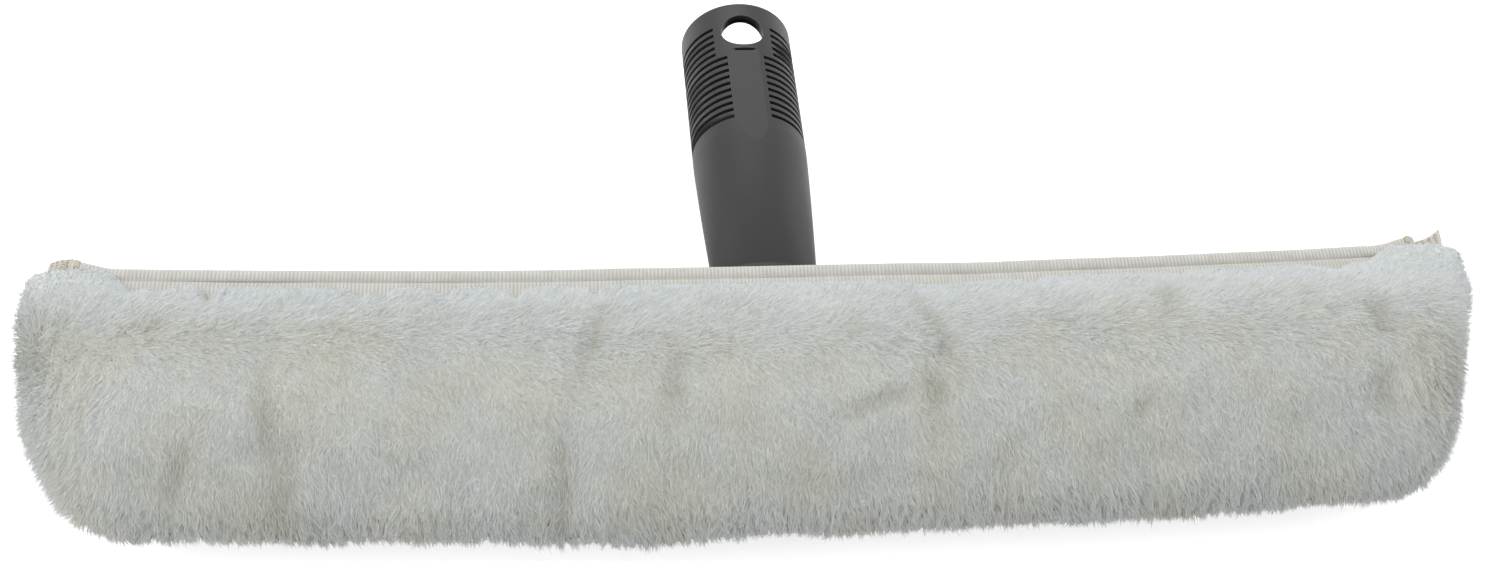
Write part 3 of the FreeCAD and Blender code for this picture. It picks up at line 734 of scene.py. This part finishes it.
def make_pile(name, roots, normals, directions, height, opened, radius):
    """A piece of the pile: every tuft's strands, with their painted depth shade and their tone for the
    material.
    """
    count = len(roots)
    tuft = np.repeat(np.arange(count), strands_in_tuft)
    total = len(tuft)
    nap, side = nap_frame(normals)
    spread = seed.normal(0.0, tuft_spread, (total, 2))
    spread = spread[:, :1] * nap[tuft] + spread[:, 1:] * side[tuft]
    gather = seed.normal(0.0, tip_spread, (total, 3))
    # A few thin strands stand out of the ends, which look soft for it.
    stray = smooth_step(np.abs(normals[tuft, 0]), stray_start, stray_full) * seed.random(total) ** 2
    way = unit(directions[tuft] + stray_rise * stray[:, None] * normals[tuft])
    length = strand_length * height[tuft] * (1.0 + seed.normal(0.0, length_spread, total))
    thickness = radius * (0.8 + 0.4 * seed.random(total)) * (1.0 - 0.5 * stray)
    start = roots[tuft] + spread - normals[tuft] * strand_sink
    aim = roots[tuft] + way * length[:, None] + gather
    # The pile is sheared along a slope beside each lip, so that the tape stays free.
    upper = np.sign(start[:, 2] - mid_height)
    along = start * [1.0, 0.0, 0.0]
    line = fleece_back + shear_from_lip + lip_shift(start[:, 0]) + fleece_rise(start[:, 0])
    line += waves(along, shear_waves) - edge_notch(start[:, 0])
    tape_top = mid_height + upper * (over_tape + foot_rise * foot_share(start[:, 0]))
    step = aim - start
    room = line - start[:, 1] - upper * (start[:, 2] - tape_top) / shear_slope
    reach = step[:, 1] + upper * step[:, 2] / shear_slope
    kept = np.where(reach > 1e-6, np.clip(room / np.maximum(reach, 1e-6), least_kept_share, 1.0), 1.0)
    tips = start + step * kept[:, None]
    middles = start + (tips - start) * middle_share + normals[tuft] * (length * kept * strand_bend)[:, None]
    points, point_normals = spin_strands(start, middles, tips, normals[tuft], thickness)
    points[:, :, 2] = np.maximum(points[:, :, 2], floor_gap)
    faces = [
        tuple(corner + first for corner in face) for first in range(0, total * 7, 7) for face in strand_faces
    ]
    piece = make_piece(name, points.reshape(-1, 3), faces, pile_white)
    mesh = piece.data
    # Each strand is painted darker towards its root and in the partings, as shade in the pile; a random share
    # per strand is its own tone.
    lights = np.repeat([root_light, middle_light, 1.0], [3, 3, 1])
    strand_light = (1.0 - parted_shade * opened[tuft]) * seed.uniform(dullest_light, 1.0, total)
    set_numbers(mesh, "pile_depth_shade", lights * strand_light[:, None])
    # The tone is warmer away from the lips; near them the pile is painted a cooler white, as light on the
    # rim.
    tone = least_tone + tuft_tone * seed.random(count)[tuft] + strand_tone * seed.random(total)
    set_numbers(mesh, "pile_tone_and_rim_light", np.repeat(warmth_beyond_painted_rim_light(roots)[tuft] * tone, 7))
    cells = math.ceil(math.sqrt(total))
    cell = np.stack([np.arange(total) % cells, np.arange(total) // cells], axis=1)
    chart = (cell[:, None] + 0.04 + strand_chart() * 0.92) / cells
    mesh.uv_layers.new(name="OFBake").data.foreach_set("uv", chart.astype(np.float32).ravel())
    mesh.normals_split_custom_set_from_vertices(point_normals.reshape(-1, 3).tolist())
    # The fibres are fine and let light through, so that they shade each other only by the way they face.
    piece.visible_shadow = False
    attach(piece, "sleeve")


sides = {
    "top": (tuft_spacing, lambda normals: normals[:, 2] > -0.70, strand_radius),
    "under": (tuft_spacing * 1.4, lambda normals: normals[:, 2] <= -0.70, strand_radius * 1.3),
}
for side_name, (spacing, wanted, radius) in sides.items():
    roots, normals = sow_tufts(mesh, spacing, wanted)
    order = np.argsort(roots[:, 0])
    roots, normals = roots[order], normals[order]
    directions, height, opened = comb(roots, normals)
    parts = math.ceil(len(roots) * strands_in_tuft / strands_in_piece)
    for number, part in enumerate(np.array_split(np.arange(len(roots)), parts), start=1):
        make_pile(
            f"fleece_pile_{side_name}_{number}",
            roots[part],
            normals[part],
            directions[part],
            height[part],
            opened[part],
            radius,
        )


# A ribbed cotton tape binds each lip of the slit. It is folded in half over the cloth's raw edge and sewn
# through with one row of stitches, which draws a groove along it and leaves a small roll above. The groove
# is painted dark brown as shade, and the valleys between the ribs are painted darker as shade.
tape_half_length = tape_high.x
tape_level = 0.0047
rib_pitch = 0.0009
rib_height = 0.00014
stations_per_rib = 4
leaf = 0.00042
corner_lift = 0.0022
corner_run = 0.011
lip_ripple = 0.00025
lip_ripple_size = 0.030
seam_pull = 0.55
seam_pull_swing = 0.9
seam_pull_size = 0.035
seam_slack = 0.0003
seam_shade_strength = 0.8
tape_colour = (0.66, 0.65, 0.61, 1.0)
tape_tone_and_shade = (0.44, 0.42, 0.37, 1.0)
seam_shade = (0.16, 0.13, 0.095, 1.0)
# The tape's outside in section: place across the sleeve, height above its inner face, share of the rib.
tape_outside = [
    (0.02600, 0.00108, 0.0),
    (0.02800, 0.00114, 1.0),
    (0.02960, 0.00116, 1.0),
    (0.03080, 0.00118, 1.0),
    (0.03150, 0.00112, 1.0),
    (0.03190, 0.00090, 0.6),
    (0.03212, 0.00070, 0.2),
    (0.03235, 0.00092, 0.4),
    (0.03265, 0.00122, 1.0),
    (0.03360, 0.00136, 1.0),
    (0.03430, 0.00138, 1.0),
    (0.03500, 0.00124, 0.9),
    (0.03550, 0.00104, 0.5),
    (0.03585, 0.00078, 0.2),
    (0.03600, 0.00050, 0.0),
    (0.03588, 0.00020, 0.0),
    (0.03550, 0.00002, 0.0),
    (0.03300, 0.00000, 0.0),
    (0.03000, 0.00000, 0.0),
    (0.02600, 0.00000, 0.0),
]
groove_row = 6


def follow_lip(points, side):
    """Moves straight lip points with the bow, the lifted corners, the ramps over the foot and small waves."""
    x = points[:, 0]
    moved = points.copy()
    moved[:, 1] += lip_shift(x)
    moved[:, 1] += corner_lift * smooth_step(np.abs(x), tape_half_length - corner_run, tape_half_length)
    moved[:, 1] += lip_ripple * lumps(points * [1.0, 0.0, 0.0], lip_ripple_size, 1.0)
    moved[:, 0] += skew * (points[:, 1] - skew_middle)
    moved[:, 2] += side * foot_rise * foot_share(x)
    return moved


tape_ribs, tree, shader = start_material("tape_ribs", {"Sheen Weight": 0.1})
weave = place_group(
    tree, knit_and_weave, {"Threads Along": 1.0 / rib_pitch, "Threads Across": 2400.0, "Slub Scale": 260.0}
)
seam = add_node(tree, "ShaderNodeAttribute", attribute_name="seam").outputs["Fac"]
valley_shade = add_node(tree, "ShaderNodeAttribute", attribute_name="rib_valley_shade").outputs["Fac"]
colour = mix_colours(tree, ramp(tree, weave.outputs["Slubs"], 0.3, 0.7, 0.0, 0.35), tape_colour, tape_tone_and_shade)
# The valleys between the ribs are painted darker, as shade; the slubs above are the tape's own tone.
colour = mix_colours(tree, maths(tree, "MULTIPLY", valley_shade, 0.8), colour, tape_tone_and_shade)
# The seam groove is painted dark brown as shade, stronger where the stitches pull it deeper.
colour = mix_colours(tree, seam, colour, seam_shade)
roughness = ramp(tree, weave.outputs["Slubs"], 0.3, 0.7, 0.8, 0.95)
finish_material(tree, shader, colour, roughness, weave.outputs["Height"], 0.00006)

stations = np.arange(-tape_half_length, tape_half_length, rib_pitch / stations_per_rib)
profile = np.array(tape_outside)
inside = np.stack([profile[::-1, 0], np.clip(profile[::-1, 1], leaf, profile[0, 1] - leaf)], axis=1)
inside[:, 0] = np.minimum(inside[:, 0], tape_high.y - leaf)
loop_y = np.concatenate([profile[:, 0], inside[:, 0]])
loop_z = np.concatenate([profile[:, 1], inside[:, 1]])
loop_rib = np.concatenate([profile[:, 2], np.zeros(len(inside))])
rib_wave = np.cos(np.arange(len(stations)) * 2 * math.pi / stations_per_rib)
along_tape = np.column_stack([stations, np.zeros((len(stations), 2))])
pull = np.clip(seam_pull + seam_pull_swing * lumps(along_tape, seam_pull_size, 4.0), 0.0, 1.0)
heights = loop_z[None] + rib_height * loop_rib[None] * rib_wave[:, None]
heights[:, groove_row] += seam_slack * (1.0 - pull)
for name, side in (("upper_lip_tape", 1), ("lower_lip_tape", -1)):
    points = np.stack(
        [
            np.repeat(stations[:, None], len(loop_y), axis=1),
            np.repeat(loop_y[None], len(stations), axis=0),
            mid_height + side * (tape_level + heights),
        ],
        axis=-1,
    )
    faces = shell_faces(len(stations), len(loop_y))
    tape = make_shell(name + "_ribbed", follow_lip(points.reshape(-1, 3), side), faces, tape_ribs)
    # The seam's painted shade lies along the groove's row and grows with the stitches' pull.
    groove_shade_mask = np.exp(-(((np.arange(len(loop_y)) - groove_row) / 0.9) ** 2))
    seam_share = groove_shade_mask[None] * pull[:, None] * seam_shade_strength
    valley_shade_share = np.clip(-rib_wave, 0.0, 1.0)[:, None] * loop_rib[None]
    set_numbers(tape.data, "seam", seam_share)
    set_numbers(tape.data, "rib_valley_shade", valley_shade_share)
    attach(tape, "sleeve")
    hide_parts(name)


# At each corner of the slit the two tapes end in a small ear: the same tape folded over once, pinched flat at
# its outer end and held down by zigzag stitches of tan thread.
ear_leaf = 0.0008
ear_half_height = 0.0046
ear_fold_power = 2.6
ear_pinch_share = 0.30
ear_ripple = 0.00025
ear_ripple_size = 0.004
stitch_swing = 0.0006
stitch_turns = 9
stitch_start = 0.0040
stitch_end = 0.0004
ear_colour = (0.74, 0.73, 0.68, 1.0)
thread_radius = 0.00012
thread_tan = (0.50, 0.44, 0.34, 1.0)
thread_pale = (0.66, 0.61, 0.51, 1.0)


def thread_tube(path, radius, sides=6):
    """Points and faces of a round thread along a path, closed at both ends."""
    path = np.asarray(path)
    along = unit(np.gradient(path, axis=0))
    first = unit(np.cross(along, np.array([0.37, 0.22, 0.90])))
    second = np.cross(along, first)
    turns = np.arange(sides) * 2 * math.pi / sides
    rings = path[:, None] + radius * (
        np.cos(turns)[None, :, None] * first[:, None] + np.sin(turns)[None, :, None] * second[:, None]
    )
    return rings.reshape(-1, 3), shell_faces(len(path), sides)


def join_tubes(paths, radius, sides=6):
    """Many threads in one mesh."""
    points, faces, count = [], [], 0
    for path in paths:
        tube_points, tube_faces = thread_tube(path, radius, sides)
        points.append(tube_points)
        faces += [[corner + count for corner in face] for face in tube_faces]
        count += len(tube_points)
    return np.concatenate(points), faces


def zigzag(start, end, swing, turns):
    """A stitched zigzag between two points, swinging to both sides along the sleeve, with rounded turns."""
    share = np.linspace(0.0, 1.0, turns * 8 + 1)
    swings = np.sin(share * turns * math.pi) * swing
    path = np.array(start) + share[:, None] * (np.array(end) - np.array(start))
    path[:, 0] += swings
    path[:, 2] += 0.00008 * np.cos(share * turns * 2 * math.pi)
    return path


def shape_ear(points, back_share, hand, inner_end, ear_length, ear_slant, ear_curl):
    """Pinches, slants and curls points of a straight ear, by their share of the way to its back edge."""
    outwards = (points[:, 0] - inner_end) / ear_length
    pinch = 1.0 - ear_pinch_share * smooth_step(back_share, 0.5, 1.0)
    shaped = points * [hand, 1.0, 1.0]
    shaped[:, 1] += ear_slant * back_share * outwards**2
    shaped[:, 2] = mid_height + points[:, 2] * pinch + ear_curl * back_share * outwards**2
    shaped[:, 2] += ear_ripple * lumps(shaped * [1.0, 1.0, 0.0], ear_ripple_size, 8.0)
    return shaped


ear_weave, tree, shader = start_material("ear_weave", {"Sheen Weight": 0.1})
weave = place_group(
    tree, knit_and_weave, {"Threads Along": 1400.0, "Threads Across": 1400.0, "Slub Scale": 260.0}
)
colour = mix_colours(tree, ramp(tree, weave.outputs["Slubs"], 0.3, 0.7, 0.0, 0.5), ear_colour, tape_tone_and_shade)
roughness = ramp(tree, weave.outputs["Slubs"], 0.3, 0.7, 0.8, 0.95)
finish_material(tree, shader, colour, roughness, weave.outputs["Height"], 0.00010)

sewing_thread, tree, shader = start_material("sewing_thread", {"Sheen Weight": 0.2})
twist = add_node(tree, "ShaderNodeTexWave", {"Vector": object_place(tree), "Scale": 900.0, "Distortion": 2.0})
colour = mix_colours(tree, twist.outputs["Fac"], thread_tan, thread_pale)
roughness = ramp(tree, twist.outputs["Fac"], 0.0, 1.0, 0.6, 0.8)
finish_material(tree, shader, colour, roughness, twist.outputs["Fac"], 0.00003)

# Each ear has its side, its length, how much further back its outer corner reaches and how far that curls up.
ears = {"left_corner_tab": (-1, 0.0062, -0.0006, 0.0), "right_corner_tab": (1, 0.0085, 0.0030, 0.0040)}
for name, (hand, ear_length, ear_slant, ear_curl) in ears.items():
    tab_low, tab_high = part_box(name)
    inner_end = min(abs(tab_low.x), abs(tab_high.x))
    lap = np.linspace(-1.0, 1.0, 21)
    fold_out = np.sqrt(1.0 - np.abs(lap) ** ear_fold_power)
    outer = np.stack([inner_end + ear_length * fold_out, ear_half_height * lap], axis=1)
    inner_length = ear_length - ear_leaf
    inner_half_height = ear_half_height - ear_leaf
    inner = np.stack([inner_end + inner_length * fold_out, inner_half_height * lap], axis=1)
    loop = np.concatenate([outer, inner[::-1]])
    rows = np.linspace(tab_low.y, tab_high.y - max(ear_slant, 0.0), 16)
    ring_share = np.repeat(np.linspace(0.0, 1.0, len(rows)), len(loop))
    loops = np.tile(loop, (len(rows), 1))
    points = np.column_stack([loops[:, 0], np.repeat(rows, len(loop)), loops[:, 1]])
    points = shape_ear(points, ring_share, hand, inner_end, ear_length, ear_slant, ear_curl)
    faces = shell_faces(len(rows), len(loop))
    ear = make_shell(name + "_ear", follow_lip(points, 0), faces, ear_weave)
    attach(ear, "sleeve")
    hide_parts(name)
    seams = []
    for outwards in (0.15, 0.35, 0.55, 0.75):
        x = inner_end + ear_length * outwards
        level = ear_half_height * (1.0 - outwards**2) ** (1 / ear_fold_power) + thread_radius
        start = (x, rows[0] + stitch_start, level)
        end = (x, rows[-1] - stitch_end, level)
        seam = zigzag(start, end, stitch_swing, stitch_turns)
        seam_share = (seam[:, 1] - rows[0]) / (rows[-1] - rows[0])
        seam = shape_ear(seam, seam_share, hand, inner_end, ear_length, ear_slant, ear_curl)
        seams.append(follow_lip(seam, 0))
    points, faces = join_tubes(seams, thread_radius)
    stitches = make_shell(name + "_stitches", points, faces, sewing_thread)
    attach(stitches, "sleeve")


# A bartack of tan thread closes the slit near each end: a dense zigzag sewn over the tape's roll, from the
# edge of the fleece to the fold.
bartack_turns = 13
bartack_swing = 0.0007
bartack_level = 0.0014
bartack_front = 0.0005
bartack_back = 0.0004
fewer_turns = 4

for name in ("left_bartack", "right_bartack"):
    tack_low, tack_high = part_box(name)
    x = (tack_low.x + tack_high.x) / 2
    level = mid_height + tape_level + bartack_level
    start = (x, tack_low.y + bartack_front, level)
    end = (x, tack_high.y - bartack_back, level)
    covered = zigzag(start, end, bartack_swing, bartack_turns)
    crossed = zigzag(end, start, -bartack_swing, bartack_turns - fewer_turns)
    crossed[:, 2] += thread_radius
    points, faces = join_tubes([follow_lip(covered, 1), follow_lip(crossed, 1)], thread_radius)
    bartack = make_shell(name + "_threads", points, faces, sewing_thread)
    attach(bartack, "sleeve")
    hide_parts(name)


# Inside the lips, on each side of the handle, a strip of nylon hooks faces a strip of nylon loops, so that
# the slit can be pressed shut and the sleeve comes off for washing. Each strip is sewn flat to its tape.
strip_base = 0.0005
hook_pitch = 0.0017
hook_radius = 0.00010
loop_count = 420
loop_half_width = 0.0006
strip_margin = 0.001
strip_edge = 0.0008
nylon_colour = (0.78, 0.78, 0.76, 1.0)
nylon_shade = (0.60, 0.60, 0.57, 1.0)

closure_nylon, tree, shader = start_material("closure_nylon", {"Sheen Weight": 0.1})
weave = place_group(
    tree, knit_and_weave, {"Threads Along": 1700.0, "Threads Across": 1700.0, "Slub Scale": 300.0}
)
colour = mix_colours(tree, ramp(tree, weave.outputs["Slubs"], 0.3, 0.7), nylon_shade, nylon_colour)
roughness = ramp(tree, weave.outputs["Slubs"], 0.3, 0.7, 0.45, 0.6)
finish_material(tree, shader, colour, roughness, weave.outputs["Height"], 0.00005)


def hook_path(x, y, height):
    """A bent monofilament that rises from the strip and curls back over itself."""
    turn = np.linspace(0.0, 1.25 * math.pi, 7)
    bend = height * 0.36
    stem = [(x, y, 0.0), (x, y, height - bend)]
    curl = [(x, y + bend * (1.0 - math.cos(t)) * 0.8, height - bend + bend * math.sin(t)) for t in turn[1:]]
    return np.array(stem + curl)


def loop_path(x, y, height, turn, width):
    """A soft loop of yarn that stands on the strip."""
    share = np.linspace(0.0, math.pi, 7)
    reach = width * np.cos(share)
    return np.column_stack([x + reach * math.cos(turn), y + reach * math.sin(turn), height * np.sin(share)])


for name in ("left_hook_strip", "right_hook_strip", "left_loop_strip", "right_loop_strip"):
    strip_low, strip_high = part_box(name)
    side = 1 if (strip_low.z + strip_high.z) / 2 > mid_height else -1
    base_level = max(strip_high.z - mid_height, mid_height - strip_low.z)
    tall = strip_high.z - strip_low.z - strip_base
    stations = np.linspace(strip_low.x, strip_high.x, 60)
    width = np.linspace(strip_low.y, strip_high.y, 9)
    edge = np.minimum(width - width[0], width[-1] - width)
    face = strip_base * (0.6 + 0.4 * smooth_step(edge, 0.0, strip_edge))
    loop = np.concatenate([np.stack([width, width * 0.0], axis=1), np.stack([width, face], axis=1)[::-1]])
    points = np.concatenate(
        [np.column_stack([np.full(len(loop), x), loop[:, 0], loop[:, 1]]) for x in stations]
    )
    faces = shell_faces(len(stations), len(loop))
    if "hook" in name:
        grid_x = np.arange(strip_low.x + strip_margin, strip_high.x - strip_margin, hook_pitch)
        grid_y = np.arange(strip_low.y + strip_margin, strip_high.y - strip_margin, hook_pitch)
        paths = [hook_path(x, y, tall * 0.95) for x in grid_x for y in grid_y]
    else:
        at_x = seed.uniform(strip_low.x + strip_margin, strip_high.x - strip_margin, loop_count)
        at_y = seed.uniform(strip_low.y + strip_margin, strip_high.y - strip_margin, loop_count)
        turns = seed.uniform(0.0, math.pi, loop_count)
        loop_places = zip(at_x, at_y, turns)
        paths = [loop_path(x, y, tall * 0.9, turn, loop_half_width) for x, y, turn in loop_places]
    pile_points, pile_faces = join_tubes(paths, hook_radius, 4)
    pile_points[:, 2] += strip_base
    faces += [[corner + len(points) for corner in face] for face in pile_faces]
    points = np.concatenate([points, pile_points])
    points[:, 2] = mid_height + side * (base_level - points[:, 2])
    strip = make_shell(name + "_sewn", follow_lip(points, side), faces, closure_nylon)
    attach(strip, "sleeve")
    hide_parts(name)


# The scrubber lies on a sheet of plain white paper, which runs on behind it as a white backdrop. The paper
# keeps the scrubber's soft shadow.
floor_size = 6.0
floor_white = (0.80, 0.80, 0.80, 1.0)
floor_lift = 0.65


def backdrop_rays(tree):
    """1 for rays from the camera, from gloss and through glass, which see the backdrop as plain white."""
    path = add_node(tree, "ShaderNodeLightPath").outputs
    seen = maths(tree, "MAXIMUM", path["Is Camera Ray"], path["Is Glossy Ray"])
    return maths(tree, "MAXIMUM", seen, path["Is Transmission Ray"])


floor_paper = bpy.data.materials.new("floor_paper")
floor_paper.use_nodes = True
tree = floor_paper.node_tree
tree.nodes.remove(tree.nodes["Principled BSDF"])
matte = add_node(tree, "ShaderNodeBsdfDiffuse", {"Color": floor_white}).outputs[0]
lift = maths(tree, "MULTIPLY", backdrop_rays(tree), floor_lift)
glow = add_node(tree, "ShaderNodeEmission", {"Color": (1.0, 1.0, 1.0, 1.0), "Strength": lift}).outputs[0]
both = add_node(tree, "ShaderNodeAddShader", {0: matte, 1: glow}).outputs[0]
tree.links.new(both, tree.nodes["Material Output"].inputs["Surface"])
half = floor_size / 2
floor_corners = [(-half, -half, 0.0), (half, -half, 0.0), (half, half, 0.0), (-half, half, 0.0)]
floor = make_piece("floor", floor_corners, [(0, 1, 2, 3)], floor_paper)


# The light is a plain white studio: an even dome, a wide soft panel behind and above, and a weaker one on
# each side.
dome_strength = 0.74
world = bpy.data.worlds.new("studio")
bpy.context.scene.world = world
world.use_nodes = True
tree = world.node_tree
background = tree.nodes["Background"]
background.inputs["Color"].default_value = (0.97, 0.985, 1.0, 1.0)
strength = ramp(tree, backdrop_rays(tree), 0.0, 1.0, dome_strength, 1.0)
tree.links.new(strength, background.inputs["Strength"])


def add_panel(name, place, size, power):
    """A square soft light that faces the scrubber."""
    lamp = bpy.data.lights.new(name, "AREA")
    lamp.size = size
    lamp.energy = power
    panel = bpy.data.objects.new(name, lamp)
    panel.location = place
    panel.rotation_euler = (-Vector(place)).to_track_quat("-Z", "Y").to_euler()
    bpy.context.scene.collection.objects.link(panel)


add_panel("back_panel", (-0.10, 1.00, 1.00), 1.0, 7.0)
add_panel("right_panel", (1.0, 0.3, 0.5), 0.6, 3.0)
add_panel("left_panel", (-1.0, -0.1, 0.6), 0.6, 4.5)


# The camera stands in front of the sleeve and above it, a little to the left and turned a few degrees, about
# half a metre away.
view_distance = 0.49226
view_yaw = math.radians(10.38)
view_elevation = math.radians(49.51)
view_roll = math.radians(6.78)
view_target = Vector((-0.00360, 0.03633, 0.0175))
picture_width = 1500
focal_pixels = 2020.6

towards = Vector(
    (
        -math.sin(view_yaw) * math.cos(view_elevation),
        -math.cos(view_yaw) * math.cos(view_elevation),
        math.sin(view_elevation),
    )
)
level_right = Vector((math.cos(view_yaw), -math.sin(view_yaw), 0.0))
level_up = towards.cross(level_right)
right = math.cos(view_roll) * level_right + math.sin(view_roll) * level_up
up = math.cos(view_roll) * level_up - math.sin(view_roll) * level_right
camera_data = bpy.data.cameras.new("camera")
camera_data.sensor_width = 36.0
camera_data.sensor_fit = "HORIZONTAL"
camera_data.lens = focal_pixels / picture_width * camera_data.sensor_width
camera_data.clip_start = 0.01
camera = bpy.data.objects.new("camera", camera_data)
turned = Matrix((right, up, towards)).transposed().to_4x4()
camera.matrix_world = Matrix.Translation(view_target + towards * view_distance) @ turned
bpy.context.scene.collection.objects.link(camera)
bpy.context.scene.camera = camera
bpy.context.scene.view_settings.view_transform = "Standard"
